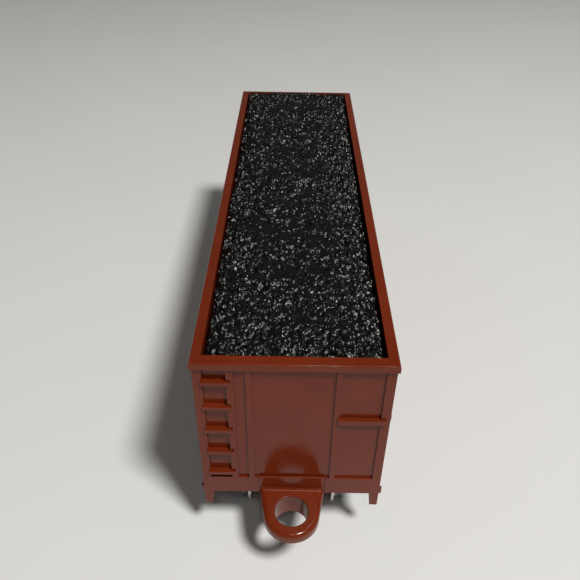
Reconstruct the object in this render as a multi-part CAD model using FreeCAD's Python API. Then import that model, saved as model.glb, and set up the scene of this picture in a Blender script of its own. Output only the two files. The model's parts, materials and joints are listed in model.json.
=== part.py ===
import FreeCAD, Part
import os
from math import acos, cos, pi, sin

"""Model hopper car with a lift-out coal load, two swivelling trucks and loop-and-peg couplers.

X is across the car, Y along it (the front end, with the loop coupler, faces -Y) and Z up.
The origin is on the plane the wheels stand on, under the middle of the car. Sizes are millimetres.
"""

V = FreeCAD.Vector
X_AXIS = V(1, 0, 0)
Z_AXIS = V(0, 0, 1)
FRONT = -1
REAR = 1

# ---- body shell ----
RIM_LENGTH = 307.0
RIM_WIDTH = 84.0
RIM_TOP = 117.0
RIM_DROP = 4.2            # height of the rim's outer lip
RIM_SLOPE = 0.75          # the rim's top falls this much towards its outer edge
RIM_EDGE_R = 0.8
SIDE_OVERHANG = 0.8       # rim beyond the corner posts, on each side
END_OVERHANG = 1.0        # rim beyond the corner posts, on each end
CAVITY_WIDTH = 74.6
CAVITY_LENGTH = 298.2
SILL_BOTTOM = 32.5
SILL_TOP = 43.4
PANEL_DEPTH = 1.0
LADDER_DEPTH = 1.6
STEP_BOTTOM = 23.5
STEP_TOP_INNER = 36.7     # half-distance between the two corner steps, at the sill
STEP_LOW_INNER = 37.5     # and at their feet
STEP_THICKNESS = 3.2
STEP_TONGUE = (38.5, 42.5, 0.9, 2.3)    # from the middle, and behind the step's front face
STEP_TONGUE_HEIGHT = 3.0

# ladder bay, measured from the outer face of the corner post
CORNER_POST = 3.8
LADDER_GAP = 9.75
LADDER_STILE = 3.0
RUNG_COUNT = 5
TOP_RUNG = 105.7
RUNG_PITCH = 14.37
RUNG_THICKNESS = 1.9
RUNG_LAP_OUTER = 0.7      # how far a rung overlaps the corner post
RUNG_LAP_INNER = 1.6      # and the stile

# end wall posts, as distances from the middle of the wall
POST_LEFT = (-19.75, -17.3)
POST_RIGHT = (17.2, 19.5)
RIGHT_CORNER_POST = 4.0
GRAB_SPAN = (18.9, 39.6)
GRAB_BOTTOM = 81.6
GRAB_THICKNESS = 2.8
SHELF_TIP = 0.4           # blunt end of a rung or grab iron, before it tapers back to the wall

# side wall
SIDE_BAYS = 11
SIDE_POST = 3.0

# ---- coal load ----
LEDGE_TOP = 100.0
LEDGE_YS = (-125.0, -62.0, 0.0, 62.0, 125.0)
LOAD_HALF_WIDTH = 36.6
LOAD_HALF_LENGTH = 148.4
LOAD_EDGE_Z = 115.0
LOAD_SHOULDER_Z = 117.2
LOAD_CROWN_Z = 118.6
LOAD_THICKNESS = 2.2
LOAD_GAP = 0.1            # under the load, where it rests on its ledges

# ---- floor and hopper bays ----
FLOOR_TOP = 35.4
FLOOR_THICKNESS = 2.0
FIT_GAP = 0.2             # around the floor where it drops into the shell
SHEET = 1.8
SLOPE_START = 52.0
SLOPE_RISE_TO = 92.0
BAY_TOP_HALF_WIDTH = 36.0
BAY_LOW_HALF_WIDTH = 28.0
BAY_INNER_TOP = V(0, 5.0, FLOOR_TOP)       # outline of the rear bay, from the middle of the car
BAY_INNER_LOW = V(0, 18.0, 12.0)
BAY_LIP = V(0, 21.5, 12.0)
BAY_HINGE = V(0, 44.0, 27.5)
BAY_OUTER_TOP = V(0, SLOPE_START, FLOOR_TOP)
DOOR_THICKNESS = 1.6
DOOR_GAP = 0.3
DOOR_LIP = 1.5
DOOR_PIN_R = 1.0
DOOR_PIN_CLEARANCE = 0.06
DOOR_BARREL_R = 2.1
DOOR_BARREL_HALF = 20.0
LUG_X = (24.0, 27.0)

# ---- screws ----
SCREW_R = 1.5
BODY_SCREW_X = 33.4
BODY_SCREW_Y = 140.0
COLUMN_R = 3.6
COLUMN_TOP = 56.0
UNDERFRAME_SCREW_X = 22.0
COUPLER_SCREWS_IN = (9.0, 20.0)            # inwards from the end of the rim
FRAME_SCREW_R = 1.0

# ---- couplers ----
LOOP_TOP = 35.3
LOOP_EDGE_BOTTOM = 29.5
LOOP_COLLAR_BOTTOM = 23.5
LOOP_HOLE_R = 7.7
LOOP_HOLE_OUT = 10.9      # hole centre, outwards from the end of the rim
LOOP_NOSE_R = 12.9
LOOP_ROOT_HALF_WIDTH = 15.2
LOOP_COLLAR_R = 9.0
LOOP_FILLET = 1.9
LOOP_HEEL_TOP = 44.1      # the heel stands against the end wall, above the loop
LOOP_HEEL_PROUD = 0.4
LOOP_HEEL_LIP = 0.9       # thickness of the heel where it laps over the wall panel
SHANK_HALF_WIDTH = 9.0
SHANK_LENGTH = 26.0
PEG_OUT = 15.4
PEG_ARM_BOTTOM = 36.3
PEG_ARM_TOP = 42.1
PEG_ARM_R = 8.4
PEG_R = 6.4
PEG_BOTTOM = 24.0

# ---- trucks ----
TRUCK_CENTRE = 99.3
WHEELBASE = 56.0
AXLE_Z = 14.5
FLANGE_R = 14.5
TREAD_ROOT_R = 12.5
TREAD_EDGE_R = 12.1
WHEEL_BACK = 20.0         # half the back-to-back distance, for 45 mm gauge
FLANGE_WIDTH = 2.2
WHEEL_WIDTH = 6.0
AXLE_R = 2.0
JOURNAL_R = 1.5
JOURNAL_CLEARANCE = 0.08
AXLE_HALF = 31.0
AXLE_SHOULDER = 26.6
FRAME_INNER = 27.4
FRAME_OUTER = 32.4
SPRING_WINDOW = 8.0
SPRING_SEAT = 9.5
SPRING_R = 2.2
BOLSTER_BOTTOM = 16.2
BOLSTER_TOP = 24.0
CENTRE_PLATE_TOP = 26.6
CENTRE_PLATE_R = 9.0
PLATE_GAP = 0.3
KINGPIN_R = 2.0
KINGPIN_CLEARANCE = 0.08
UNDERFRAME_BOTTOM = 29.5

HALF_LENGTH = RIM_LENGTH / 2
HALF_WIDTH = RIM_WIDTH / 2
POST_X = HALF_WIDTH - SIDE_OVERHANG
POST_Y = HALF_LENGTH - END_OVERHANG
INNER_X = CAVITY_WIDTH / 2
INNER_Y = CAVITY_LENGTH / 2
LIP_BOTTOM = RIM_TOP - RIM_DROP
FLOOR_BOTTOM = FLOOR_TOP - FLOOR_THICKNESS


# ------------------------------------------------------------------ helpers

def box(x0, x1, y0, y1, z0, z1):
    return Part.makeBox(x1 - x0, y1 - y0, z1 - z0, V(x0, y0, z0))


def cylinder(radius, start, axis, length):
    return Part.makeCylinder(radius, length, V(*start), axis)


def union(shapes):
    shapes = list(shapes)
    return shapes[0].fuse(shapes[1:]).removeSplitter()


def closed_wire(points):
    return Part.makePolygon([V(*p) for p in points] + [V(*points[0])])


def prism(points, direction):
    return Part.Face(closed_wire(points)).extrude(direction)


def rectangle(half_x, half_y, z):
    return closed_wire([(-half_x, -half_y, z), (half_x, -half_y, z), (half_x, half_y, z), (-half_x, half_y, z)])


def across(points, half_width):
    """Extrude a YZ outline to both sides of the car's centre plane."""
    return prism([(-half_width, p.y, p.z) for p in points], V(2 * half_width, 0, 0))


def turned(shape):
    """The same shape at the other end of the car."""
    copy = shape.copy()
    copy.rotate(V(0, 0, 0), Z_AXIS, 180)
    return copy


def mirrored_x(shape):
    return shape.mirror(V(0, 0, 0), X_AXIS)


def fillet_where(solid, radius, wanted):
    """Round the edges whose middle point passes the wanted(point) test."""
    edges = [e for e in solid.Edges if wanted(e.valueAt((e.FirstParameter + e.LastParameter) / 2))]
    return solid.makeFillet(radius, edges)


# ------------------------------------------------------------------ body shell

def rim():
    """Overhanging rim, its top sloping outwards so that the mitres show at the corners."""
    edge_z = RIM_TOP - RIM_SLOPE
    lip = box(-HALF_WIDTH, HALF_WIDTH, -HALF_LENGTH, HALF_LENGTH, LIP_BOTTOM, edge_z)
    slope = Part.makeLoft(
        [rectangle(HALF_WIDTH, HALF_LENGTH, edge_z), rectangle(INNER_X, INNER_Y, RIM_TOP)], True, True
    )
    return fillet_where(union([lip, slope]), RIM_EDGE_R, lambda p: abs(p.z - edge_z) < 1e-6)


def rung_levels():
    return [TOP_RUNG - i * RUNG_PITCH for i in range(RUNG_COUNT)]


def end_recesses():
    """Sunk panels of the front end wall, between the sill and the rim."""
    left = -POST_X + CORNER_POST
    stile_end = left + LADDER_GAP + LADDER_STILE
    spans = [
        (left, left + LADDER_GAP, LADDER_DEPTH),
        (stile_end, POST_LEFT[0], PANEL_DEPTH),
        (POST_LEFT[1], POST_RIGHT[0], PANEL_DEPTH),
        (POST_RIGHT[1], POST_X - RIGHT_CORNER_POST, PANEL_DEPTH),
    ]
    return [box(a, b, -POST_Y - 1, -POST_Y + depth, SILL_TOP, LIP_BOTTOM) for a, b, depth in spans]


def shelf(left, right, left_lap, right_lap, bottom, thickness):
    """Small shelf on the front end wall, its ends tapering from their blunt tips back to the wall."""
    tip = -HALF_LENGTH + SHELF_TIP
    back = -POST_Y + LADDER_DEPTH + 0.3
    outline = [
        (left - left_lap, -HALF_LENGTH, bottom), (right + right_lap, -HALF_LENGTH, bottom),
        (right + right_lap, tip, bottom), (right, -POST_Y + 0.1, bottom), (right, back, bottom),
        (left, back, bottom), (left, -POST_Y + 0.1, bottom), (left - left_lap, tip, bottom),
    ]
    return prism(outline, V(0, 0, thickness))


def end_rungs():
    """Ladder rungs and the grab iron, which stand out as far as the rim does."""
    left = -POST_X + CORNER_POST
    right = left + LADDER_GAP
    rungs = [
        shelf(left, right, RUNG_LAP_OUTER, RUNG_LAP_INNER, z - RUNG_THICKNESS, RUNG_THICKNESS)
        for z in rung_levels()
    ]
    return rungs + [shelf(*GRAB_SPAN, 0.0, 0.0, GRAB_BOTTOM, GRAB_THICKNESS)]


def side_recesses():
    """Sunk panels of the +X wall. Its ladder is at the rear corner, on the right seen from outside."""
    ladder_far = POST_Y - CORNER_POST
    ladder_near = ladder_far - LADDER_GAP
    start = -POST_Y + CORNER_POST
    pitch = (ladder_near - LADDER_STILE - start + SIDE_POST) / SIDE_BAYS
    shapes = [box(POST_X - LADDER_DEPTH, POST_X + 1, ladder_near, ladder_far, SILL_TOP, LIP_BOTTOM)]
    for i in range(SIDE_BAYS):
        y0 = start + i * pitch
        shapes.append(box(POST_X - PANEL_DEPTH, POST_X + 1, y0, y0 + pitch - SIDE_POST, SILL_TOP, LIP_BOTTOM))
    return shapes


def side_rungs():
    near = POST_Y - CORNER_POST - LADDER_GAP - RUNG_LAP_INNER
    far = POST_Y - CORNER_POST + RUNG_LAP_OUTER
    back = POST_X - LADDER_DEPTH - 0.3
    rungs = [box(back, HALF_WIDTH, near, far, z - RUNG_THICKNESS, z) for z in rung_levels()]
    grab_start = -POST_Y + HALF_WIDTH - GRAB_SPAN[1]
    grab_end = grab_start + GRAB_SPAN[1] - GRAB_SPAN[0]
    grab = box(back, HALF_WIDTH, grab_start, grab_end, GRAB_BOTTOM, GRAB_BOTTOM + GRAB_THICKNESS)
    return rungs + [grab]


def step_tongue():
    """Tongue on top of the front right step, which fills its pocket in the sill."""
    left, right, near, far = STEP_TONGUE
    return box(left, right, -POST_Y + near, -POST_Y + far, SILL_BOTTOM - 1, SILL_BOTTOM + STEP_TONGUE_HEIGHT)


def corner_step():
    """Front right step: a plain plate under the sill, tapering towards its foot."""
    outline = [
        (STEP_TOP_INNER, -POST_Y, SILL_BOTTOM),
        (STEP_LOW_INNER, -POST_Y, STEP_BOTTOM),
        (POST_X, -POST_Y, STEP_BOTTOM),
        (POST_X, -POST_Y, SILL_BOTTOM),
    ]
    return union([prism(outline, V(0, STEP_THICKNESS, 0)), step_tongue()])


def load_ledges():
    """Small brackets inside the long walls, which the coal load rests on."""
    wall = INNER_X + 0.3
    shapes = []
    for y in LEDGE_YS:
        profile = [(wall, y - 5, LEDGE_TOP), (wall - 2.5, y - 5, LEDGE_TOP), (wall, y - 5, LEDGE_TOP - 4)]
        ledge = prism(profile, V(0, 10, 0))
        shapes += [ledge, mirrored_x(ledge)]
    return shapes


def screw_columns():
    """Columns in the shell's corners, which the body screws bite into."""
    shapes = []
    for x, y in body_screw_places():
        web = box(abs(x), INNER_X + 0.3, y - 1.2, y + 1.2, FLOOR_TOP, COLUMN_TOP)
        shapes.append(cylinder(COLUMN_R, (x, y, FLOOR_TOP), Z_AXIS, COLUMN_TOP - FLOOR_TOP))
        shapes.append(web if x > 0 else mirrored_x(web))
    return shapes


def coupler_slots():
    """Notch for the loop's heel in the front sill, and slot for the peg arm in the rear one."""
    loop = LOOP_ROOT_HALF_WIDTH + FIT_GAP
    peg = PEG_ARM_R + FIT_GAP
    return [
        box(-loop, loop, -POST_Y - 1, -INNER_Y + 1, SILL_BOTTOM - 1, SILL_TOP),
        box(-peg, peg, INNER_Y - 1, POST_Y + 1, PEG_ARM_BOTTOM - FIT_GAP, PEG_ARM_TOP + FIT_GAP),
    ]


def body_shell():
    walls = box(-POST_X, POST_X, -POST_Y, POST_Y, SILL_BOTTOM, LIP_BOTTOM + 1)
    cavity = box(-INNER_X, INNER_X, -INNER_Y, INNER_Y, 0, RIM_TOP + 5)
    recesses = end_recesses() + side_recesses()
    shell = union([walls, rim()]).cut([cavity] + recesses + [turned(s) for s in recesses])
    details = end_rungs() + side_rungs()
    shell = union([shell] + details + [turned(s) for s in details] + load_ledges() + screw_columns())
    pockets = [step_tongue(), mirrored_x(step_tongue())]
    pockets += [turned(s) for s in pockets]
    return shell.cut(coupler_slots() + pockets + screw_holes(body_screw_places(), FLOOR_TOP - 1, 48.0))


def load_levels(thickness):
    """Heights and insets of the load's crowned outline, moved inwards by the thickness."""
    levels = (
        (LEDGE_TOP + LOAD_GAP, 0.0),
        (LOAD_EDGE_Z, 0.0),
        (LOAD_SHOULDER_Z, 6.0),
        (LOAD_CROWN_Z, 18.0),
    )
    return [(z - thickness, inset + thickness) for z, inset in levels]


def crowned_block(levels):
    wires = [rectangle(LOAD_HALF_WIDTH - inset, LOAD_HALF_LENGTH - inset, z) for z, inset in levels]
    return union(Part.makeLoft([low, high], True, True) for low, high in zip(wires, wires[1:]))


def coal_load():
    """The heaped insert: a moulded tray turned upside down, open underneath."""
    return crowned_block(load_levels(0)).cut([crowned_block(load_levels(LOAD_THICKNESS))])


# ------------------------------------------------------------------ screws

def screw(top, head_bottom, x, y, shank_r=SCREW_R, head_r=3.0, head_height=2.0):
    """A pan-head screw driven upwards, with a cross slot in its head."""
    head = cylinder(head_r, (x, y, head_bottom), Z_AXIS, head_height)
    head = fillet_where(head, 0.3 * head_height, lambda p: abs(p.z - head_bottom) < 1e-6)
    shank = cylinder(shank_r, (x, y, head_bottom + 1), Z_AXIS, top - head_bottom - 1)
    half_slot = 0.55 * head_r
    slots = [
        box(x - a, x + a, y - b, y + b, head_bottom - 1, head_bottom + head_height / 2)
        for a, b in ((0.35, half_slot), (half_slot, 0.35))
    ]
    return union([head, shank]).cut(slots)


def body_screw_places():
    return [(x, y) for x in (-BODY_SCREW_X, BODY_SCREW_X) for y in (-BODY_SCREW_Y, BODY_SCREW_Y)]


def coupler_screw_places(end):
    return [(0, end * (HALF_LENGTH - inwards)) for inwards in COUPLER_SCREWS_IN]


def underframe_screw_places():
    places = []
    for end in (FRONT, REAR):
        places += [(x, end * TRUCK_CENTRE) for x in (-UNDERFRAME_SCREW_X, UNDERFRAME_SCREW_X)]
    return places


def screw_holes(places, bottom, top):
    return [cylinder(SCREW_R, (x, y, bottom), Z_AXIS, top - bottom) for x, y in places]


def body_screws():
    return [screw(48.0, FLOOR_BOTTOM - 2.0, x, y) for x, y in body_screw_places()]


def coupler_screws():
    front = [screw(39.0, UNDERFRAME_BOTTOM - 2.0, x, y) for x, y in coupler_screw_places(FRONT)]
    rear = [screw(40.4, FLOOR_BOTTOM - 2.0, x, y) for x, y in coupler_screw_places(REAR)]
    return front + rear


def underframe_screws():
    return [screw(40.0, UNDERFRAME_BOTTOM - 2.0, x, y, head_r=2.6) for x, y in underframe_screw_places()]


# ------------------------------------------------------------------ floor and hopper bays

def bay_points():
    return [BAY_INNER_TOP, BAY_INNER_LOW, BAY_LIP, BAY_HINGE, BAY_OUTER_TOP]


def bay_sides(inset):
    """Space between a bay's side sheets, which draw in towards the mouth."""
    top = BAY_TOP_HALF_WIDTH - inset
    low = BAY_LOW_HALF_WIDTH - inset
    half = [(top, FLOOR_TOP + 9), (top, FLOOR_TOP), (low, BAY_HINGE.z), (low, 0)]
    outline = [(x, 0, z) for x, z in half] + [(-x, 0, z) for x, z in reversed(half)]
    return prism(outline, V(0, 2 * SLOPE_START, 0))


def mouth_directions():
    """Unit vectors of the slanting mouth: down along it, and out of the bay."""
    along = (BAY_LIP - BAY_HINGE).normalize()
    return along, V(0, -along.z, along.y)


def door_pin_centre():
    along, out = mouth_directions()
    return BAY_HINGE + out * (DOOR_BARREL_R + 0.2) - along * 1.2


def inset_corners(points, distance):
    """Corners of an outline moved inwards by the distance, in the order of the given ones."""
    ring = Part.makePolygon(points + points[:1]).makeOffset2D(-distance, 2)
    corners = [vertex.Point for vertex in ring.Vertexes]
    return [min(corners, key=point.distanceToPoint) for point in points]


def bay_hollow():
    """What is cut out of a bay: its inside, the open mouth and the open top."""
    corners = inset_corners(bay_points(), SHEET)
    inner_top, _, lip, hinge, outer_top = corners
    out = mouth_directions()[1] * (3 * SHEET)
    up = V(0, 0, 3 * SHEET)
    openings = [
        corners,
        [lip, hinge, hinge + out, lip + out],
        [inner_top, outer_top, outer_top + up, inner_top + up],
    ]
    return union(across(points, BAY_TOP_HALF_WIDTH) for points in openings).common(bay_sides(SHEET))


def pin_lugs():
    """Plates that carry the door's hinge pin, outside the ends of its barrel."""
    centre = door_pin_centre()
    shapes = []
    for x in (LUG_X[0], -LUG_X[1]):
        thickness = V(LUG_X[1] - LUG_X[0], 0, 0)
        web = [
            (x, BAY_HINGE.y, BAY_HINGE.z),
            (x, centre.y + DOOR_BARREL_R, centre.z),
            (x, BAY_OUTER_TOP.y + 1.0, FLOOR_BOTTOM + 0.5),
            (x, BAY_OUTER_TOP.y - 3.0, FLOOR_BOTTOM + 0.5),
        ]
        shapes += [cylinder(DOOR_BARREL_R, (x, centre.y, centre.z), X_AXIS, thickness.x), prism(web, thickness)]
    return shapes


def slope_sheet():
    """Sheet that rises from the outer edge of a bay to the end wall."""
    end = INNER_Y - FIT_GAP
    outline = [
        V(0, SLOPE_START, FLOOR_TOP - 0.5),
        V(0, SLOPE_START, FLOOR_TOP + SHEET),
        V(0, end, SLOPE_RISE_TO + SHEET),
        V(0, end, SLOPE_RISE_TO),
        V(0, SLOPE_START + SHEET, FLOOR_TOP - 0.5),
    ]
    return across(outline, INNER_X - FIT_GAP)


def hopper_floor():
    """Floor plate with a ridge across the middle, a slope sheet to each end and an opening to each bay."""
    half_x = INNER_X - FIT_GAP
    half_y = INNER_Y - FIT_GAP
    plate = box(-half_x, half_x, -half_y, half_y, FLOOR_BOTTOM, FLOOR_TOP)
    ridge_foot = BAY_INNER_TOP.y + SHEET
    ridge = across([V(0, y, FLOOR_TOP + z) for y, z in ((-ridge_foot, -0.5), (0, 7), (ridge_foot, -0.5))], half_x)
    boss_places = coupler_screw_places(FRONT) + underframe_screw_places()
    bosses = [cylinder(COLUMN_R, (x, y, FLOOR_TOP), Z_AXIS, 5) for x, y in boss_places]
    solid = union([plate, ridge, slope_sheet(), turned(slope_sheet())] + bosses)
    places = body_screw_places() + coupler_screw_places(REAR) + boss_places
    holes = screw_holes(places, FLOOR_BOTTOM - 1, FLOOR_TOP + 6)
    return solid.cut([bay_hollow(), turned(bay_hollow())] + holes)


def hopper_bay():
    """Rear bay: a funnel of sheet under the floor, with the lugs that carry its door's hinge pin."""
    funnel = across(bay_points(), BAY_TOP_HALF_WIDTH).common(bay_sides(0))
    under_floor = box(-HALF_WIDTH, HALF_WIDTH, 0, 2 * SLOPE_START, 0, FLOOR_BOTTOM)
    solid = union([funnel] + pin_lugs()).common(under_floor)
    pin = door_pin_centre()
    bore = cylinder(DOOR_PIN_R, (-LUG_X[1] - 1, pin.y, pin.z), X_AXIS, 2 * LUG_X[1] + 2)
    return solid.cut([bay_hollow(), bore])


def hopper_door():
    """Door of the rear bay: a ribbed plate under the mouth, hung from a barrel on the hinge pin."""
    along, out = mouth_directions()
    length = BAY_HINGE.distanceToPoint(BAY_LIP) + DOOR_LIP
    inner_face = DOOR_GAP
    outer_face = DOOR_GAP + DOOR_THICKNESS

    def slab(start, end, half_width, low, high):
        a = BAY_HINGE + along * start
        b = BAY_HINGE + along * end
        return across([a + out * low, b + out * low, b + out * high, a + out * high], half_width)

    plate = slab(4.0, length, BAY_LOW_HALF_WIDTH, inner_face, outer_face)
    leaf = slab(-1.0, 5.0, DOOR_BARREL_HALF, inner_face, outer_face)
    ribs = [slab(y, y + 1.4, BAY_LOW_HALF_WIDTH - 2, inner_face, outer_face + 0.8) for y in (9.0, 16.5, 24.0)]
    pin = door_pin_centre()
    start = (-DOOR_BARREL_HALF, pin.y, pin.z)
    barrel = cylinder(DOOR_BARREL_R, start, X_AXIS, 2 * DOOR_BARREL_HALF)
    bore = cylinder(DOOR_PIN_R + DOOR_PIN_CLEARANCE, start, X_AXIS, 2 * DOOR_BARREL_HALF)
    return union([plate, leaf, barrel] + ribs).cut([bore])


def door_pin():
    pin = door_pin_centre()
    half = LUG_X[1] + 0.6
    solid = cylinder(DOOR_PIN_R, (-half, pin.y, pin.z), X_AXIS, 2 * half)
    return fillet_where(solid, 0.3, lambda p: abs(p.x) > LUG_X[1])


# ------------------------------------------------------------------ underframe and couplers

def underframe():
    """Rear body bolster with its pivot boss, and the stub of centre sill above the truck."""
    bolster = box(-33, 33, TRUCK_CENTRE - 8, TRUCK_CENTRE + 8, UNDERFRAME_BOTTOM, FLOOR_BOTTOM)
    sill_end = HALF_LENGTH - SHANK_LENGTH - 0.5
    sill = box(-8, 8, TRUCK_CENTRE - 34, sill_end, UNDERFRAME_BOTTOM, FLOOR_BOTTOM)
    boss_bottom = CENTRE_PLATE_TOP + PLATE_GAP
    boss = cylinder(CENTRE_PLATE_R, (0, TRUCK_CENTRE, boss_bottom), Z_AXIS, FLOOR_BOTTOM - boss_bottom)
    solid = union([bolster, sill, boss])
    solid = fillet_where(solid, 2.0, lambda p: abs(abs(p.x) - 33) < 1e-6 and abs(abs(p.y - TRUCK_CENTRE) - 8) < 1e-6)
    pivot = cylinder(KINGPIN_R, (0, TRUCK_CENTRE, boss_bottom - 1), Z_AXIS, FLOOR_BOTTOM)
    holes = screw_holes(underframe_screw_places(), UNDERFRAME_BOTTOM - 1, FLOOR_BOTTOM + 1)
    return solid.cut([pivot] + holes)


def loop_plan(face, z):
    """Plan of the loop: sides that close in from the heel's face and run into a round nose."""
    centre = V(0, -HALF_LENGTH - LOOP_HOLE_OUT, z)
    root = V(LOOP_ROOT_HALF_WIDTH, face, z)
    reach = root - centre
    angle = reach.getAngle(X_AXIS) - acos(LOOP_NOSE_R / reach.Length)
    touch = centre + V(cos(angle), sin(angle), 0) * LOOP_NOSE_R
    nose = centre - V(0, LOOP_NOSE_R, 0)
    left_touch = V(-touch.x, touch.y, z)
    left_root = V(-root.x, root.y, z)
    edges = [
        Part.LineSegment(root, touch).toShape(),
        Part.Arc(touch, nose, left_touch).toShape(),
        Part.LineSegment(left_touch, left_root).toShape(),
        Part.LineSegment(left_root, root).toShape(),
    ]
    return Part.Face(Part.Wire(edges))


def heel_fillet(face):
    """Hollow fillet on top of the loop, where it runs up into the heel."""
    half = LOOP_ROOT_HALF_WIDTH - 1.2
    corner = V(-half, face + 0.1, LOOP_TOP - 0.2)
    top = V(-half, face + 0.1, LOOP_TOP + LOOP_FILLET)
    start = V(-half, face, LOOP_TOP + LOOP_FILLET)
    toe = V(-half, face - LOOP_FILLET, LOOP_TOP)
    low_toe = V(-half, face - LOOP_FILLET, LOOP_TOP - 0.2)
    middle = V(-half, face - LOOP_FILLET * (1 - cos(pi / 4)), LOOP_TOP + LOOP_FILLET * (1 - sin(pi / 4)))
    edges = [
        Part.LineSegment(corner, top).toShape(),
        Part.LineSegment(top, start).toShape(),
        Part.Arc(start, middle, toe).toShape(),
        Part.LineSegment(toe, low_toe).toShape(),
        Part.LineSegment(low_toe, corner).toShape(),
    ]
    return Part.Face(Part.Wire(edges)).extrude(V(2 * half, 0, 0))


def loop_heel(face):
    """Upright block that fills the notch in the end sill, its top lapping over the wall panel."""
    half = LOOP_ROOT_HALF_WIDTH
    block = box(-half, half, face, -INNER_Y - FIT_GAP, LOOP_EDGE_BOTTOM, SILL_TOP - 0.1)
    lip = box(-half, half, face, face + LOOP_HEEL_LIP, SILL_TOP - 1, LOOP_HEEL_TOP)
    heel = union([block, lip])
    return fillet_where(heel, 0.35, lambda p: abs(p.z - LOOP_HEEL_TOP) < 1e-6 and abs(p.y - face) < 1e-6)


def coupler_loop():
    """Thick D-shaped loop with a deep round eye, its heel, and the shank that the floor holds."""
    face = -POST_Y - LOOP_HEEL_PROUD
    eye_y = -HALF_LENGTH - LOOP_HOLE_OUT
    plate = loop_plan(face, LOOP_EDGE_BOTTOM).extrude(V(0, 0, LOOP_TOP - LOOP_EDGE_BOTTOM))
    plate = fillet_where(plate, 2.4, lambda p: p.y < face - 0.01 and abs(p.z - LOOP_TOP) < 1e-6)
    plate = fillet_where(plate, 0.8, lambda p: p.y < face - 0.01 and abs(p.z - LOOP_EDGE_BOTTOM) < 1e-6)
    collar_height = LOOP_EDGE_BOTTOM - LOOP_COLLAR_BOTTOM
    collar = cylinder(LOOP_COLLAR_R, (0, eye_y, LOOP_COLLAR_BOTTOM), Z_AXIS, collar_height + 1)
    tail_y = -HALF_LENGTH + SHANK_LENGTH
    shank = box(-SHANK_HALF_WIDTH, SHANK_HALF_WIDTH, face + 1, tail_y, LOOP_EDGE_BOTTOM, FLOOR_BOTTOM)
    eye = cylinder(LOOP_HOLE_R, (0, eye_y, 0), Z_AXIS, LOOP_TOP + 5)
    holes = screw_holes(coupler_screw_places(FRONT), LOOP_EDGE_BOTTOM - 1, FLOOR_BOTTOM + 1)
    solid = union([plate, collar, loop_heel(face), shank, heel_fillet(face)]).cut([eye] + holes)

    def eye_rim(p):
        return abs(p.z - LOOP_TOP) < 1e-6 and abs(V(p.x, p.y - eye_y, 0).Length - LOOP_HOLE_R) < 0.01

    return fillet_where(solid, 0.5, eye_rim)


def coupler_peg():
    """Arm above the level of a loop, with a peg that drops through the next car's eye."""
    nose_y = HALF_LENGTH + PEG_OUT
    start_y = HALF_LENGTH - SHANK_LENGTH
    height = PEG_ARM_TOP - PEG_ARM_BOTTOM
    arm = box(-PEG_ARM_R, PEG_ARM_R, start_y, nose_y, PEG_ARM_BOTTOM, PEG_ARM_TOP)
    nose = cylinder(PEG_ARM_R, (0, nose_y, PEG_ARM_BOTTOM), Z_AXIS, height)
    arm = union([arm, nose])
    arm = fillet_where(arm, 1.6, lambda p: abs(p.z - PEG_ARM_TOP) < 1e-6 and p.y > start_y + 0.01)
    foot = box(-PEG_ARM_R, PEG_ARM_R, start_y, INNER_Y - FIT_GAP, FLOOR_TOP, PEG_ARM_BOTTOM + 1)
    peg = cylinder(PEG_R, (0, nose_y, PEG_BOTTOM), Z_AXIS, PEG_ARM_BOTTOM - PEG_BOTTOM + 1)
    peg = fillet_where(peg, 1.6, lambda p: abs(p.z - PEG_BOTTOM) < 1e-6)
    holes = screw_holes(coupler_screw_places(REAR), FLOOR_TOP - 1, 40.4)
    return union([arm, foot, peg]).cut(holes)


# ------------------------------------------------------------------ trucks

def truck_bolster(centre_y):
    beam = box(-FRAME_INNER, FRAME_INNER, centre_y - 7.6, centre_y + 7.6, BOLSTER_BOTTOM, BOLSTER_TOP)
    beam = fillet_where(beam, 2.0, lambda p: abs(abs(p.x) - FRAME_INNER) > 1 and abs(p.z - BOLSTER_TOP) < 1e-6)
    tongue_half = SPRING_WINDOW - 0.4
    tongues = box(-FRAME_OUTER, FRAME_OUTER, centre_y - tongue_half, centre_y + tongue_half, BOLSTER_BOTTOM, 21.0)
    plate = cylinder(CENTRE_PLATE_R, (0, centre_y, BOLSTER_TOP - 1), Z_AXIS, CENTRE_PLATE_TOP - BOLSTER_TOP + 1)
    pivot_r = KINGPIN_R + KINGPIN_CLEARANCE
    pivot = cylinder(pivot_r, (0, centre_y, BOLSTER_BOTTOM - 1), Z_AXIS, CENTRE_PLATE_TOP - BOLSTER_BOTTOM + 2)
    screw_bores = [
        cylinder(FRAME_SCREW_R, (x, centre_y, BOLSTER_BOTTOM - 1), Z_AXIS, 4.5)
        for x in (-frame_screw_x(), frame_screw_x())
    ]
    return union([beam, tongues, plate]).cut([pivot] + screw_bores)


def frame_screw_x():
    return (FRAME_INNER + FRAME_OUTER) / 2


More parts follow.
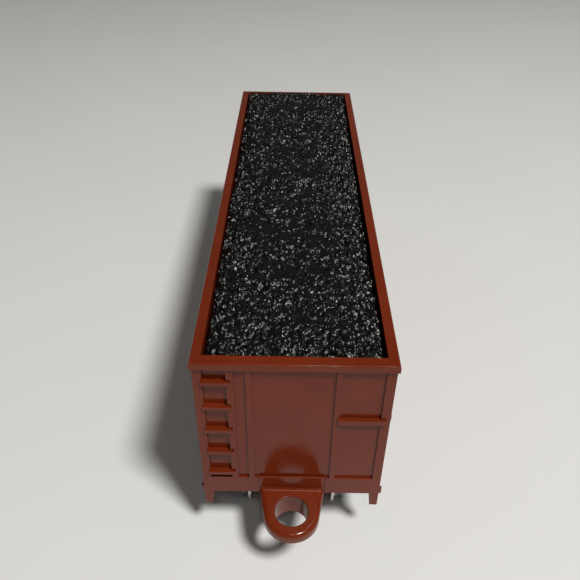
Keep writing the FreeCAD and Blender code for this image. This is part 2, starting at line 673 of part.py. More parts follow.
def side_frame(centre_y):
    """Cast-style side frame at +X: arched top chord, dipped bottom chord and two axle boxes."""
    half_base = WHEELBASE / 2
    quarter = [(34, 18), (26, 21.5), (10, 24.5)]
    lower = [(10, 5.8), (21, 9.6), (28, 9.2), (34, 11.5)]
    right = quarter + lower
    outline = [(y, z) for y, z in quarter] + [(-y, z) for y, z in reversed(quarter)]
    outline += [(-y, z) for y, z in reversed(lower)] + [(y, z) for y, z in lower]
    depth = V(FRAME_OUTER - FRAME_INNER, 0, 0)
    solid = prism([(FRAME_INNER, centre_y + y, z) for y, z in outline], depth)
    window = [(10.5, 20.6), (20.5, 17.8), (20.5, 13.2), (10.5, 9.6)]
    cuts = [box(FRAME_INNER - 1, FRAME_OUTER + 1, centre_y - SPRING_WINDOW, centre_y + SPRING_WINDOW, SPRING_SEAT, 21.2)]
    journal_r = JOURNAL_R + JOURNAL_CLEARANCE
    additions = []
    for side in (-1, 1):
        cuts.append(prism([(FRAME_INNER - 1, centre_y + side * y, z) for y, z in window], depth + V(2, 0, 0)))
        axle_y = centre_y + side * half_base
        cap = cylinder(5.6, (FRAME_INNER, axle_y, AXLE_Z), X_AXIS, depth.x + 0.8)
        lid = box(FRAME_OUTER, FRAME_OUTER + 1.6, axle_y - 3.4, axle_y + 3.4, AXLE_Z - 3.4, AXLE_Z + 3.8)
        lid = fillet_where(lid, 0.8, lambda p: abs(p.x - FRAME_OUTER - 1.6) < 1e-6)
        additions += [cap, lid]
        cuts.append(cylinder(journal_r, (FRAME_INNER - 1, axle_y, AXLE_Z), X_AXIS, AXLE_HALF + 1.3 - FRAME_INNER))
    cuts.append(cylinder(FRAME_SCREW_R, (frame_screw_x(), centre_y, 5.0), Z_AXIS, SPRING_SEAT - 5.0))
    return union([solid] + additions).cut(cuts)


def spring(x, y):
    """Coil spring as a column with rounded coils, between its seat and the bolster."""
    coils = 6
    pitch = (BOLSTER_BOTTOM - SPRING_SEAT) / coils
    wire_r = pitch / 2
    core = SPRING_R - wire_r
    edges = []
    for i in range(coils):
        low = SPRING_SEAT + i * pitch
        start = V(x + core, y, low)
        middle = V(x + SPRING_R, y, low + wire_r)
        end = V(x + core, y, low + pitch)
        edges.append(Part.Arc(start, middle, end).toShape())
    top = V(x, y, BOLSTER_BOTTOM)
    bottom = V(x, y, SPRING_SEAT)
    edges.append(Part.LineSegment(V(x + core, y, BOLSTER_BOTTOM), top).toShape())
    edges.append(Part.LineSegment(top, bottom).toShape())
    edges.append(Part.LineSegment(bottom, V(x + core, y, SPRING_SEAT)).toShape())
    return Part.Face(Part.Wire(edges)).revolve(bottom, Z_AXIS, 360)


def truck_springs(centre_y):
    places = [(x, centre_y + y) for x in (-frame_screw_x(), frame_screw_x()) for y in (-4.6, 4.6)]
    return [spring(x, y) for x, y in places]


def frame_screws(centre_y):
    return [
        screw(19.5, 4.4, x, centre_y, shank_r=FRAME_SCREW_R, head_r=2.0, head_height=1.4)
        for x in (-frame_screw_x(), frame_screw_x())
    ]


def kingpin(centre_y):
    washer_bottom = BOLSTER_BOTTOM - 1.0
    return screw(FLOOR_BOTTOM - 0.4, washer_bottom - 2.2, 0, centre_y, KINGPIN_R, 4.0, 2.2)


def kingpin_washer(centre_y):
    bottom = BOLSTER_BOTTOM - 1.0
    ring = cylinder(5.6, (0, centre_y, bottom), Z_AXIS, 0.8)
    return ring.cut(cylinder(KINGPIN_R + 0.05, (0, centre_y, bottom - 1), Z_AXIS, 3))


def wheel_at_right(axle_y):
    """Metal wheel with a rounded flange inside, a coned tread, a dished web and a hub."""
    back = WHEEL_BACK
    face = back + WHEEL_WIDTH
    tip = back + 0.45 * FLANGE_WIDTH
    root = back + FLANGE_WIDTH

    def at(x, radius):
        return V(x, axle_y, AXLE_Z + radius)

    flange = [
        Part.Arc(at(back, FLANGE_R - 1.1), at(back + 0.25, FLANGE_R - 0.3), at(tip, FLANGE_R)).toShape(),
        Part.Arc(at(tip, FLANGE_R), at(root - 0.55, FLANGE_R - 0.55), at(root, TREAD_ROOT_R)).toShape(),
    ]
    line = [
        (root, TREAD_ROOT_R), (face - 0.5, TREAD_EDGE_R), (face, TREAD_EDGE_R - 0.5), (face, 10.3),
        (face - 1.4, 9.6), (face - 1.4, 5.2), (face + 0.2, 4.2), (face + 0.2, AXLE_R),
        (back - 0.3, AXLE_R), (back - 0.3, 4.2), (back + 1.2, 5.2), (back + 1.2, 10.0), (back, 10.6),
        (back, FLANGE_R - 1.1),
    ]
    lines = [Part.LineSegment(at(*a), at(*b)).toShape() for a, b in zip(line, line[1:])]
    return Part.Face(Part.Wire(flange + lines)).revolve(V(0, axle_y, AXLE_Z), X_AXIS, 360)


def axle(axle_y):
    body = cylinder(AXLE_R, (-AXLE_SHOULDER, axle_y, AXLE_Z), X_AXIS, 2 * AXLE_SHOULDER)
    journals = cylinder(JOURNAL_R, (-AXLE_HALF, axle_y, AXLE_Z), X_AXIS, 2 * AXLE_HALF)
    return fillet_where(union([body, journals]), 0.5, lambda p: abs(p.x) > AXLE_HALF - 1e-6)


# ------------------------------------------------------------------ nodes

def truck_nodes(name, centre_y):
    frame = side_frame(centre_y)
    nodes = {
        name + "_bolster": truck_bolster(centre_y),
        name + "_right_side_frame": frame,
        name + "_left_side_frame": mirrored_x(frame),
        name + "_springs": Part.makeCompound(truck_springs(centre_y)),
        name + "_frame_screws": Part.makeCompound(frame_screws(centre_y)),
    }
    for place, offset in (("outer", 1), ("inner", -1)):
        outward = 1 if centre_y > 0 else -1
        axle_y = centre_y + outward * offset * WHEELBASE / 2
        wheel = wheel_at_right(axle_y)
        nodes[name + "_" + place + "_axle"] = axle(axle_y)
        nodes[name + "_" + place + "_right_wheel"] = wheel
        nodes[name + "_" + place + "_left_wheel"] = mirrored_x(wheel)
    return nodes


def all_nodes():
    nodes = {
        "body_shell": body_shell(),
        "front_right_step": corner_step(),
        "front_left_step": mirrored_x(corner_step()),
        "rear_left_step": turned(corner_step()),
        "rear_right_step": turned(mirrored_x(corner_step())),
        "coal_load": coal_load(),
        "hopper_floor": hopper_floor(),
        "rear_hopper_bay": hopper_bay(),
        "front_hopper_bay": turned(hopper_bay()),
        "rear_hopper_door": hopper_door(),
        "front_hopper_door": turned(hopper_door()),
        "rear_door_pin": door_pin(),
        "front_door_pin": turned(door_pin()),
        "rear_underframe": underframe(),
        "front_underframe": turned(underframe()),
        "coupler_loop": coupler_loop(),
        "coupler_peg": coupler_peg(),
        "body_screws": Part.makeCompound(body_screws()),
        "coupler_screws": Part.makeCompound(coupler_screws()),
        "underframe_screws": Part.makeCompound(underframe_screws()),
    }
    for name, end in (("front", FRONT), ("rear", REAR)):
        centre_y = end * TRUCK_CENTRE
        nodes[name + "_kingpin"] = kingpin(centre_y)
        nodes[name + "_kingpin_washer"] = kingpin_washer(centre_y)
        nodes.update(truck_nodes(name + "_truck", centre_y))
    return nodes


os.makedirs("parts", exist_ok=True)
for node, shape in all_nodes().items():
    shape.exportStep("parts/" + node + ".step")
    print(node, "solids", len(shape.Solids), "valid", shape.isValid(), "volume", round(shape.Volume, 1))
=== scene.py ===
import json
import math

import bpy
import bmesh
import numpy as np
from mathutils import Matrix, Vector


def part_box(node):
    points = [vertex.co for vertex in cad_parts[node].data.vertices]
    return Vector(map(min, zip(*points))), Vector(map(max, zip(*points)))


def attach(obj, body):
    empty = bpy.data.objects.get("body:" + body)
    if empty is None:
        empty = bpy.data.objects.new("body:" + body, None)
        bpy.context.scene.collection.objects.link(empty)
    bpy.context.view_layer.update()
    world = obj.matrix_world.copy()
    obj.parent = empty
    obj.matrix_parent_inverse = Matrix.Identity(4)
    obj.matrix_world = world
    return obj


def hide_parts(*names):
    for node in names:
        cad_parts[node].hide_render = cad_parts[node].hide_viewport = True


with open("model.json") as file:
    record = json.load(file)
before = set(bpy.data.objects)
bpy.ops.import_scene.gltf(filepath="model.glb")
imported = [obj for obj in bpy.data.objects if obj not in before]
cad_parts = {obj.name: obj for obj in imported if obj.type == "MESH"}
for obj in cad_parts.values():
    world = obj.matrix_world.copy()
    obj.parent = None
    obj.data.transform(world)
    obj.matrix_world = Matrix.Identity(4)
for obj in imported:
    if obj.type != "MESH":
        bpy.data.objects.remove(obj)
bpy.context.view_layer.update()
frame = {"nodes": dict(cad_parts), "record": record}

MM = 0.001
TRUCK_CENTRE = 0.0993
HALF_WHEELBASE = 0.028
AXLE_HEIGHT = 0.0145
# the camera at the viewing angle: where it stands (mm), how it is turned (radians), and its focal length (mm)
CAMERA_AT_MM = (-2.06, -329.4, 286.5)
CAMERA_PITCH, CAMERA_YAW, CAMERA_ROLL = 0.64784, -0.00127, 0.0159
CAMERA_LENS = 38.53

# the coal heap, in mm
COAL_SEED = 11
COAL_SPACING = 0.38
LUMP_SIZE, CHUNK_SIZE, CRUMB_SIZE = 5.2, 1.9, 1.0
COAL_WALL = 2.0

# the truck springs, in mm
SPRING_RADIUS, SPRING_WIRE, SPRING_TURNS = 2.2, 0.42, 5

SCENE = bpy.context.scene
COLLECTION = SCENE.collection


# ---------------------------------------------------------------- camera

def make_camera():
    position = Vector(CAMERA_AT_MM) * MM
    pitch, yaw, roll = CAMERA_PITCH, CAMERA_YAW, CAMERA_ROLL
    forward = Vector((
        math.sin(yaw) * math.cos(pitch), math.cos(yaw) * math.cos(pitch), -math.sin(pitch),
    ))
    right = Vector((math.cos(yaw), -math.sin(yaw), 0.0))
    up = right.cross(forward)
    rolled_right = math.cos(roll) * right + math.sin(roll) * up
    rolled_up = -math.sin(roll) * right + math.cos(roll) * up
    turn = Matrix((rolled_right, rolled_up, -forward)).transposed().to_4x4()
    data = bpy.data.cameras.new("camera")
    data.lens = CAMERA_LENS
    data.sensor_width = 36.0
    data.clip_start = 0.01
    data.clip_end = 50.0
    camera = bpy.data.objects.new("camera", data)
    camera.matrix_world = Matrix.Translation(position) @ turn
    COLLECTION.objects.link(camera)
    SCENE.camera = camera


# ---------------------------------------------------------------- material helpers

class Nodes:
    """A short way to write a node tree."""

    def __init__(self, name):
        self.material = bpy.data.materials.new(name)
        self.material.use_nodes = True
        self.tree = self.material.node_tree
        self.shader = next(n for n in self.tree.nodes if n.type == "BSDF_PRINCIPLED")
        self.coords = self.add("ShaderNodeTexCoord").outputs["Object"]

    def add(self, kind, inputs=(), **settings):
        node = self.tree.nodes.new(kind)
        for key, value in settings.items():
            setattr(node, key, value)
        for key, value in dict(inputs).items():
            self.put(node.inputs[key], value)
        return node

    def put(self, socket, value):
        if isinstance(value, bpy.types.NodeSocket):
            self.tree.links.new(value, socket)
        else:
            socket.default_value = value

    def shade(self, **values):
        for key, value in values.items():
            self.put(self.shader.inputs[key.replace("_", " ")], value)

    def noise(self, scale, detail=3.0, roughness=0.5, vector=None, distortion=0.0):
        node = self.add(
            "ShaderNodeTexNoise",
            {"Vector": vector or self.coords, "Scale": scale, "Detail": detail, "Roughness": roughness,
             "Distortion": distortion},
        )
        return node.outputs["Fac"]

    def ramp(self, fac, stops):
        node = self.add("ShaderNodeValToRGB", {"Fac": fac})
        node.color_ramp.interpolation = "LINEAR"
        elements = node.color_ramp.elements
        while len(elements) < len(stops):
            elements.new(0.5)
        for element, (position, colour) in zip(elements, stops):
            element.position = position
            element.color = colour if len(colour) == 4 else (*colour, 1.0)
        return node.outputs["Color"]

    def levels(self, fac, low, high, to_low, to_high):
        node = self.add(
            "ShaderNodeMapRange",
            {"Value": fac, "From Min": low, "From Max": high, "To Min": to_low, "To Max": to_high},
        )
        return node.outputs["Result"]

    def mix(self, fac, first, second):
        node = self.add("ShaderNodeMix", data_type="RGBA")
        self.put(node.inputs["Factor"], fac)
        sockets = [s for s in node.inputs if s.type == "RGBA"]
        for socket, value in zip(sockets, (first, second)):
            if isinstance(value, tuple) and len(value) == 3:
                value = (*value, 1.0)
            self.put(socket, value)
        return next(s for s in node.outputs if s.type == "RGBA")

    def math(self, operation, first, second=0.0):
        node = self.add("ShaderNodeMath", operation=operation)
        self.put(node.inputs[0], first)
        self.put(node.inputs[1], second)
        return node.outputs["Value"]

    def bump(self, height, strength, distance, normal=None):
        inputs = {"Height": height, "Strength": strength, "Distance": distance}
        if normal is not None:
            inputs["Normal"] = normal
        return self.add("ShaderNodeBump", inputs).outputs["Normal"]

    def stretched(self, scale, turn=(0.0, 0.0, 0.0)):
        node = self.add("ShaderNodeMapping", {"Vector": self.coords, "Scale": scale, "Rotation": turn})
        return node.outputs["Vector"]


def red_plastic():
    m = Nodes("red_plastic")
    clouds = m.noise(38.0, 4.0, 0.55)
    colour = m.mix(m.levels(clouds, 0.35, 0.65, 0.0, 1.0), (0.140, 0.0180, 0.0040), (0.156, 0.0215, 0.0052))
    dust = m.noise(1500.0, 1.0, 0.5)
    specks = m.ramp(dust, [(0.0, (0, 0, 0)), (0.775, (0, 0, 0)), (0.81, (1, 1, 1)), (1.0, (1, 1, 1))])
    colour = m.mix(m.math("MULTIPLY", specks, 0.16), colour, (0.36, 0.26, 0.21))
    handled = m.noise(120.0, 6.0, 0.65)
    scratches = m.noise(1.0, 2.0, 0.5, m.stretched((900.0, 60.0, 900.0), (0.2, 0.3, 0.5)))
    rough = m.levels(handled, 0.3, 0.7, 0.12, 0.21)
    ripple = m.bump(m.noise(260.0, 2.0, 0.5), 0.035, 0.0005)
    fine = m.bump(m.noise(2600.0, 2.0, 0.6), 0.02, 0.0002, ripple)
    scuffed = m.bump(scratches, 0.015, 0.0002, fine)
    m.shade(Base_Color=colour, Roughness=rough, Normal=scuffed, Specular_IOR_Level=0.30)
    return m.material


def black_plastic():
    m = Nodes("black_plastic")
    clouds = m.noise(60.0, 4.0, 0.6)
    colour = m.mix(m.levels(clouds, 0.35, 0.65, 0.0, 1.0), (0.010, 0.010, 0.011), (0.022, 0.021, 0.020))
    dust = m.noise(1100.0, 2.0, 0.5)
    specks = m.ramp(dust, [(0.0, (0, 0, 0)), (0.72, (0, 0, 0)), (0.80, (1, 1, 1)), (1.0, (1, 1, 1))])
    colour = m.mix(m.math("MULTIPLY", specks, 0.25), colour, (0.16, 0.15, 0.14))
    rough = m.levels(m.noise(140.0, 5.0, 0.6), 0.3, 0.7, 0.30, 0.46)
    grain = m.bump(m.noise(1700.0, 2.0, 0.6), 0.12, 0.0002)
    m.shade(Base_Color=colour, Roughness=rough, Normal=grain)
    return m.material


def coal_plastic():
    m = Nodes("coal_plastic")
    lumps = m.noise(420.0, 3.0, 0.6)
    colour = m.mix(m.levels(lumps, 0.35, 0.65, 0.0, 1.0), (0.0008, 0.0009, 0.0009), (0.0032, 0.0032, 0.0030))
    worn = m.noise(700.0, 3.0, 0.7)
    chalk = m.ramp(worn, [(0.0, (0, 0, 0)), (0.66, (0, 0, 0)), (0.76, (1, 1, 1)), (1.0, (1, 1, 1))])
    colour = m.mix(m.math("MULTIPLY", chalk, 0.16), colour, (0.08, 0.078, 0.068))
    rough = m.levels(m.noise(300.0, 4.0, 0.6), 0.35, 0.65, 0.22, 0.40)
    folds = m.bump(m.noise(620.0, 2.0, 0.5, distortion=1.0), 0.60, 0.0007)
    crease = m.bump(m.noise(1300.0, 1.0, 0.5), 0.30, 0.0003, folds)
    m.shade(Base_Color=colour, Roughness=rough, Normal=crease, Specular_IOR_Level=0.5)
    return m.material


def bright_metal(name, colour, rough_low, rough_high, brushed_along):
    m = Nodes(name)
    lines = m.noise(1.0, 3.0, 0.6, m.stretched(brushed_along))
    tone = m.mix(m.levels(m.noise(180.0, 4.0, 0.6), 0.3, 0.7, 0.0, 1.0), colour, tuple(0.82 * c for c in colour))
    stain = m.noise(240.0, 4.0, 0.65)
    patches = m.ramp(stain, [(0.0, (0, 0, 0)), (0.60, (0, 0, 0)), (0.72, (1, 1, 1)), (1.0, (1, 1, 1))])
    tone = m.mix(m.math("MULTIPLY", patches, 0.30), tone, tuple(0.45 * c for c in colour))
    rough = m.levels(lines, 0.3, 0.7, rough_low, rough_high)
    grain = m.bump(lines, 0.08, 0.0002)
    m.shade(Base_Color=tone, Metallic=1.0, Roughness=rough, Normal=grain)
    return m.material


def wheel_metal():
    """Dark metal wheels with a bright metal band on the flanges, a painted reflection sliver; the radius is
    taken from the nearest axle.
    """
    m = Nodes("wheel_metal")
    split = m.add("ShaderNodeSeparateXYZ", {"Vector": m.coords})
    from_truck = m.math("ABSOLUTE", m.math("SUBTRACT", m.math("ABSOLUTE", split.outputs["Y"]), TRUCK_CENTRE))
    from_axle = m.math("SUBTRACT", from_truck, HALF_WHEELBASE)
    height = m.math("SUBTRACT", split.outputs["Z"], AXLE_HEIGHT)
    square = m.math("ADD", m.math("MULTIPLY", from_axle, from_axle), m.math("MULTIPLY", height, height))
    radius = m.math("ADD", m.math("SQRT", square), m.levels(m.noise(300.0, 4.0, 0.6), 0.3, 0.7, -0.0002, 0.0002))
    # painted reflection: the flange band, 13.0 to 13.6 mm from the axle, is made bright metal where a reflected
    # sliver of light shows; elsewhere the metal is dark
    painted_flange_reflection = m.levels(radius, 0.0130, 0.0136, 0.0, 1.0)
    worn = m.levels(m.noise(900.0, 3.0, 0.6), 0.45, 0.75, 0.0, 0.35)
    # dark metal, turned bright on the painted reflection band and on random worn patches
    colour = m.mix(m.math("MAXIMUM", painted_flange_reflection, worn), (0.022, 0.021, 0.020), (0.62, 0.61, 0.59))
    rough = m.levels(m.noise(500.0, 4.0, 0.6), 0.3, 0.7, 0.20, 0.34)
    grain = m.bump(m.noise(1600.0, 2.0, 0.6), 0.08, 0.0002)
    m.shade(Base_Color=colour, Metallic=0.9, Roughness=rough, Normal=grain)
    return m.material


def paper_floor():
    """Plain white table top."""
    m = Nodes("table_top")
    mottle = m.levels(m.noise(6.0, 3.0, 0.5), 0.3, 0.7, 0.0, 1.0)
    tone = m.mix(mottle, (0.765, 0.765, 0.753), (0.785, 0.785, 0.773))
    grain = m.bump(m.noise(700.0, 2.0, 0.5), 0.04, 0.0003)
    m.shade(Base_Color=tone, Roughness=0.55, Normal=grain)
    return m.material


# ---------------------------------------------------------------- mesh helpers

def new_object(name, mesh):
    piece = bpy.data.objects.new(name, mesh)
    COLLECTION.objects.link(piece)
    return piece


def mesh_from(name, vertices, faces):
    mesh = bpy.data.meshes.new(name)
    mesh.from_pydata([tuple(v) for v in vertices], [], faces)
    mesh.update()
    return mesh


def smooth_by_angle(mesh, degrees):
    """Smooth shading with the edges sharper than the angle marked sharp."""
    edit = bmesh.new()
    edit.from_mesh(mesh)
    limit = math.radians(degrees)
    for face in edit.faces:
        face.smooth = True
    for edge in edit.edges:
        edge.smooth = len(edge.link_faces) == 2 and edge.calc_face_angle(math.pi) < limit
    edit.to_mesh(mesh)
    edit.free()


def apply_modifiers(piece):
    graph = bpy.context.evaluated_depsgraph_get()
    mesh = bpy.data.meshes.new_from_object(piece.evaluated_get(graph))
    piece.modifiers.clear()
    piece.data = mesh
    return mesh


def moulded_copy(node, name, width, segments=3, angle=25.0):
    """A copy of a CAD node with its hard edges rounded off, as they come out of a mould."""
    source = frame["nodes"][node]
    mesh = source.data.copy()
    edit = bmesh.new()
    edit.from_mesh(mesh)
    bmesh.ops.remove_doubles(edit, verts=edit.verts, dist=2e-6)
    for edge in edit.edges:
        edge.smooth = True
    bmesh.ops.dissolve_limit(
        edit, angle_limit=math.radians(0.6), verts=edit.verts, edges=edit.edges, use_dissolve_boundaries=False
    )
    edit.to_mesh(mesh)
    edit.free()
    piece = new_object(name, mesh)
    bevel = piece.modifiers.new("bevel", "BEVEL")
    bevel.width = width
    bevel.segments = segments
    bevel.limit_method = "ANGLE"
    bevel.angle_limit = math.radians(angle)
    bevel.use_clamp_overlap = True
    bevel.miter_outer = "MITER_ARC"
    weighted = piece.modifiers.new("weighted", "WEIGHTED_NORMAL")
    weighted.keep_sharp = True
    weighted.weight = 100
    for face in mesh.polygons:
        face.use_smooth = True
    apply_modifiers(piece)
    return piece


def dress(piece, material):
    piece.data.materials.clear()
    piece.data.materials.append(material)


# ---------------------------------------------------------------- coal

def lattice(rng, count_x, count_y, width, length):
    """Jittered seeds on a grid over the load's plan, with the grid's steps."""
    step_x, step_y = width / count_x, length / count_y
    gx, gy = np.meshgrid(np.arange(-1, count_x + 1), np.arange(-1, count_y + 1), indexing="ij")
    seeds_x = (gx + 0.5 + rng.uniform(-0.48, 0.48, gx.shape)) * step_x - width / 2
    seeds_y = (gy + 0.5 + rng.uniform(-0.48, 0.48, gy.shape)) * step_y - length / 2
    return seeds_x, seeds_y, step_x, step_y


def chunk_height(rng, x, y, size, width, length, tilt, jitter):
    """Height of a pile of flat-faced chunks: the highest of the tilted faces around each point."""
    count_x, count_y = max(3, round(width / size)), max(3, round(length / size))
    seeds_x, seeds_y, step_x, step_y = lattice(rng, count_x, count_y, width, length)
    rise = rng.uniform(-jitter, jitter, seeds_x.shape)
    slope_x = rng.normal(0.0, tilt, seeds_x.shape)
    slope_y = rng.normal(0.0, tilt, seeds_x.shape)
    cell_x = np.clip(((x + width / 2) / step_x).astype(int) + 1, 1, count_x)
    cell_y = np.clip(((y + length / 2) / step_y).astype(int) + 1, 1, count_y)
    best = np.full(x.shape, -1e9)
    for dx in (-1, 0, 1):
        for dy in (-1, 0, 1):
            i, j = cell_x + dx, cell_y + dy
            off_x, off_y = x - seeds_x[i, j], y - seeds_y[i, j]
            distance = np.sqrt(off_x ** 2 + off_y ** 2) / size
            face = rise[i, j] + slope_x[i, j] * off_x + slope_y[i, j] * off_y - 0.42 * size * distance ** 2.4
            best = np.maximum(best, face)
    return best


def soft_noise(rng, x, y, size, width, length):
    """Smooth value noise with cells of the given size."""
    nx, ny = int(width / size) + 4, int(length / size) + 4
    grid = rng.uniform(-1.0, 1.0, (nx, ny))
    u, v = (x + width / 2) / size + 1, (y + length / 2) / size + 1
    i, j = np.clip(u.astype(int), 0, nx - 2), np.clip(v.astype(int), 0, ny - 2)
    fu, fv = u - i, v - j
    fu, fv = fu * fu * (3 - 2 * fu), fv * fv * (3 - 2 * fv)
    low = grid[i, j] * (1 - fu) + grid[i + 1, j] * fu
    high = grid[i, j + 1] * (1 - fu) + grid[i + 1, j + 1] * fu
    return low * (1 - fv) + high * fv


def coal_piece():
    """The lift-out load: a crinkled heap on top, a hollow underneath, closed all round."""
    rng = np.random.default_rng(COAL_SEED)
    low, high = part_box("coal_load")
    half_x, half_y = (high.x - low.x) / 2 / MM, (high.y - low.y) / 2 / MM
    base_z, crown_z = low.z / MM, high.z / MM
    edge_z, shoulder_z, shoulder_in, crown_in = crown_z - 3.6, crown_z - 1.4, 6.0, 18.0
    count_x, count_y = int(2 * half_x / COAL_SPACING), int(2 * half_y / COAL_SPACING)
    u = np.linspace(-1, 1, count_x + 1)
    v = np.linspace(-1, 1, count_y + 1)
    plan_x, plan_y = np.meshgrid(u * half_x, v * half_y, indexing="ij")
    width, length = 2 * half_x, 2 * half_y

    inset = np.minimum(half_x - abs(plan_x), half_y - abs(plan_y))
    envelope = np.interp(inset, [0.0, shoulder_in, crown_in], [edge_z, shoulder_z, crown_z])
    rear_end = np.interp(plan_y, [half_y - 60.0, half_y], [0.0, 1.0])
    envelope += rear_end * np.interp(inset, [0.0, 6.0, 18.0], [2.2, 0.8, 0.0])
    heave = soft_noise(rng, plan_x, plan_y, 34.0, width, length) * 0.5
    heave += soft_noise(rng, plan_x, plan_y, 14.0, width, length) * 0.5
    waver = soft_noise(rng, plan_x, plan_y, 25.0, width, length)
    bands = 0.35 * np.sin(plan_y / 5.5 + 1.1 * waver)
    lumps = chunk_height(rng, plan_x, plan_y, LUMP_SIZE, width, length, 0.18, 0.40)
    chunks = chunk_height(rng, plan_x, plan_y, CHUNK_SIZE, width, length, 0.40, 0.26)
    crumbs = chunk_height(rng, plan_x, plan_y, CRUMB_SIZE, width, length, 0.66, 0.20)
    relief = heave + bands + lumps + 0.8 * chunks + 0.95 * crumbs
    relief = relief - np.percentile(relief, 82.0)
    ceiling = crown_z - 0.02
    raw = envelope + relief
    top = np.where(raw > ceiling - 1.0, ceiling - np.exp(-np.maximum(raw - ceiling + 1.0, 0.0)), raw)
    top = np.maximum(top, envelope - 4.5)

    ragged = 0.5 + 0.5 * soft_noise(rng, plan_x, plan_y, 4.0, width, length)
    ragged = 0.6 * ragged + 0.4 * (0.5 + 0.5 * soft_noise(rng, plan_x, plan_y, 1.8, width, length))
    side = np.where(plan_x > 0, 0.3 + 1.1 * ragged, 0.05 + 0.6 * ragged)
    outer_x = plan_x * (1 - side / half_x)
    outer_y = plan_y * (1 - (0.1 + 0.7 * ragged) / half_y)

    outer = np.stack([outer_x, outer_y, top], axis=-1).reshape(-1, 3)
    rows, columns = count_x + 1, count_y + 1
    index = np.arange(rows * columns).reshape(rows, columns)
    quads = np.stack([index[:-1, :-1], index[1:, :-1], index[1:, 1:], index[:-1, 1:]], axis=-1).reshape(-1, 4)
    ring = np.concatenate([index[:, 0], index[-1, 1:], index[-2::-1, -1], index[0, -2:0:-1]])

    vertices = [outer]
    faces = [quads.tolist()]
    count = len(outer)
    loops = [ring]
    steps = 10
    edge = outer[ring]
    for k in range(1, steps + 1):
        t = k / steps
        wobble = 0.35 * rng.uniform(-1, 0, len(ring)) * (1 - t)
        row = edge.copy()
        row[:, 2] = edge[:, 2] * (1 - t) + base_z * t
        row[:, 0] *= 1 + wobble / half_x
        row[:, 1] *= 1 + wobble / half_y
        vertices.append(row)
        loops.append(np.arange(count, count + len(ring)))
        count += len(ring)
    inner_bottom = edge.copy()
    inner_bottom[:, 0] *= (half_x - COAL_WALL) / half_x
    inner_bottom[:, 1] *= (half_y - COAL_WALL) / half_y
    inner_bottom[:, 2] = base_z
    vertices.append(inner_bottom)
    loops.append(np.arange(count, count + len(ring)))
    count += len(ring)
    inner_top = inner_bottom.copy()
    inner_top[:, 2] = edge_z - 5.5
    vertices.append(inner_top)
    loops.append(np.arange(count, count + len(ring)))
    count += len(ring)
    for first, second in zip(loops, loops[1:]):
        a, b = first, np.roll(first, -1)
        c, d = np.roll(second, -1), second
        faces.append(np.stack([b, a, d, c], axis=-1).tolist())
    roof_levels = [(3.5, edge_z - 4.0), (12.0, shoulder_z - 4.2), (22.0, crown_z - 5.4)]
    last = loops[-1]
    for inwards, z in roof_levels:
        row = inner_top.copy()
        reach_x, reach_y = half_x - COAL_WALL - inwards, half_y - COAL_WALL - inwards
        row[:, 0] = np.clip(row[:, 0], -reach_x, reach_x)
        row[:, 1] = np.clip(row[:, 1], -reach_y, reach_y)
        row[:, 2] = z
        vertices.append(row)
        here = np.arange(count, count + len(ring))
        count += len(ring)
        faces.append(np.stack([np.roll(last, -1), last, here, np.roll(here, -1)], axis=-1).tolist())
        last = here
    faces.append([last.tolist()[::-1]])
    points = np.concatenate(vertices) * MM
    mesh = mesh_from("coal_heap", points, [tuple(f) for group in faces for f in group])
    edit = bmesh.new()
    edit.from_mesh(mesh)
    bmesh.ops.remove_doubles(edit, verts=edit.verts, dist=1e-7)
    bmesh.ops.dissolve_degenerate(edit, edges=edit.edges, dist=1e-7)
    bmesh.ops.recalc_face_normals(edit, faces=edit.faces)
    edit.to_mesh(mesh)
    edit.free()
    smooth_by_angle(mesh, 38.0)
    return new_object("coal_heap", mesh)


# ---------------------------------------------------------------- springs

def coil_mesh(centre, bottom, top, radius, wire, turns):
    """A compression spring wound from round wire, with closed ends."""
    around, sections = 12, int(turns * 28)
    vertices, faces = [], []
    for k in range(sections + 1):
        t = k / sections
        angle = 2 * math.pi * turns * t
        lead = np.interp(t, [0.0, 0.12, 0.88, 1.0], [0.0, 0.05, 0.95, 1.0])
        z = bottom + wire + (top - bottom - 2 * wire) * lead
        spoke = Vector((math.cos(angle), math.sin(angle), 0.0))
        point = centre + spoke * radius + Vector((0, 0, z))
        for s in range(around):
            turn = 2 * math.pi * s / around
            vertices.append(point + spoke * wire * math.cos(turn) + Vector((0, 0, wire * math.sin(turn))))
    for k in range(sections):
        for s in range(around):
            a, b = k * around + s, k * around + (s + 1) % around
            faces.append((a, b, b + around, a + around))
    faces.append(tuple(range(around - 1, -1, -1)))
    faces.append(tuple(sections * around + s for s in range(around)))
    return vertices, faces


def truck_springs(node):
    """All the springs of one truck, wound in the places that the CAD columns mark."""
    low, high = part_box(node)
    radius = SPRING_RADIUS * MM
    wire = SPRING_WIRE * MM
    vertices, faces = [], []
    for x in (low.x + radius, high.x - radius):
        for y in (low.y + radius, high.y - radius):
            found, quads = coil_mesh(Vector((x, y, 0)), low.z, high.z, radius - wire, wire, SPRING_TURNS)
            faces += [tuple(i + len(vertices) for i in quad) for quad in quads]
            vertices += found
    mesh = mesh_from(node + "_coils", vertices, faces)
    smooth_by_angle(mesh, 60.0)
    return new_object(node + "_coils", mesh)


# ---------------------------------------------------------------- stage

def make_stage():
    half = 4.0
    count = 12
    vertices, faces = [], []
    for i in range(count + 1):
        for j in range(count + 1):
            vertices.append((half * (2 * i / count - 1), half * (2 * j / count - 1), 0.0))
    for i in range(count):
        for j in range(count):
            a = i * (count + 1) + j
            faces.append((a, a + count + 1, a + count + 2, a + 1))
    table = new_object("table_top", mesh_from("table_top", vertices, faces))
    table.data.materials.append(paper_floor())


def area_light(name, direction, distance, size, power, colour=(1.0, 1.0, 1.0), aim=Vector((0, 0, 0.05))):
    data = bpy.data.lights.new(name, "AREA")
    data.shape = "DISK"
    data.size = size
    data.energy = power
    data.color = colour
    light = bpy.data.objects.new(name, data)
    place = aim + Vector(direction).normalized() * distance
    light.matrix_world = Matrix.Translation(place) @ (place - aim).to_track_quat("Z", "Y").to_matrix().to_4x4()
    COLLECTION.objects.link(light)


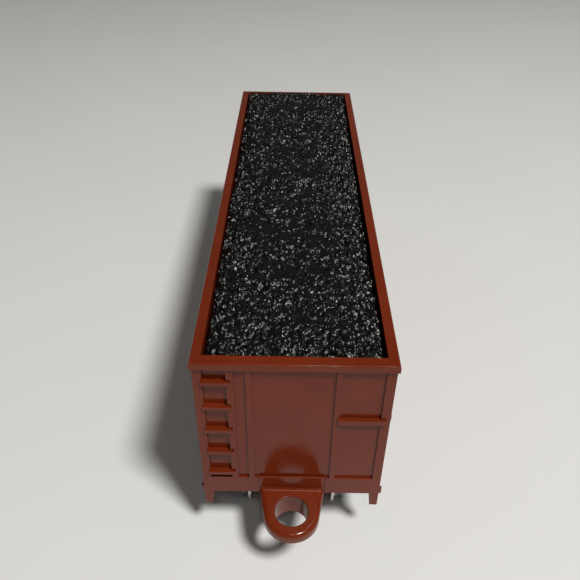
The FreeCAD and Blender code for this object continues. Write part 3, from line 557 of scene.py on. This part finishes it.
def make_lights():
    area_light("key", (0.37, -0.445, 1.0), 2.6, 0.46, 61.0, (1.0, 0.985, 0.955))
    area_light("front", (0.03, -0.55, 0.85), 2.6, 0.34, 3.4, (1.0, 0.99, 0.97))
    world = bpy.data.worlds.new("world")
    world.use_nodes = True
    background = next(n for n in world.node_tree.nodes if n.type == "BACKGROUND")
    background.inputs["Color"].default_value = (0.64, 0.63, 0.60, 1.0)
    background.inputs["Strength"].default_value = 0.13
    SCENE.world = world
    SCENE.view_settings.view_transform = "Standard"


# ---------------------------------------------------------------- build

make_camera()
make_stage()
make_lights()

RED = red_plastic()
BLACK = black_plastic()
COAL = coal_plastic()
WHEEL = wheel_metal()
STEEL = bright_metal("axle_steel", (0.48, 0.48, 0.47), 0.24, 0.40, (1200.0, 80.0, 80.0))
SCREW = bright_metal("screw_plating", (0.26, 0.255, 0.25), 0.28, 0.45, (300.0, 300.0, 900.0))

BY_SLOT = {
    "body_plastic": RED, "coupler_plastic": RED, "frame_plastic": BLACK, "load_plastic": COAL,
    "wheel_metal": WHEEL, "axle_metal": STEEL, "spring_metal": STEEL, "screw_metal": SCREW,
}
SLOT_OF = {s["node"]: s["material_slot"] for s in frame["record"]["subparts"]}

# node, the moulded copy's name, its edge rounding in mm, and the body it rides on
MOULDED = [
    ("body_shell", "body_moulding", 0.26, "car"),
    ("coupler_loop", "coupler_loop_moulding", 0.2, "car"),
    ("coupler_peg", "coupler_peg_moulding", 0.2, "car"),
]
MOULDED += [
    (f"{end}_{side}_step", f"{end}_{side}_step_moulding", 0.2, "car")
    for end in ("front", "rear") for side in ("left", "right")
]
for node, name, width, body in MOULDED:
    copy = moulded_copy(node, name, width * MM)
    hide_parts(node)
    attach(copy, body)
    dress(copy, RED)

coal = coal_piece()
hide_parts("coal_load")
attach(coal, "load")
dress(coal, COAL)

for truck in ("front_truck", "rear_truck"):
    coils = truck_springs(truck + "_springs")
    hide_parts(truck + "_springs")
    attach(coils, truck)
    dress(coils, STEEL)

for node, cad in frame["nodes"].items():
    if not cad.hide_render:
        cad.data.materials.clear()
        cad.data.materials.append(BY_SLOT[SLOT_OF[node]])
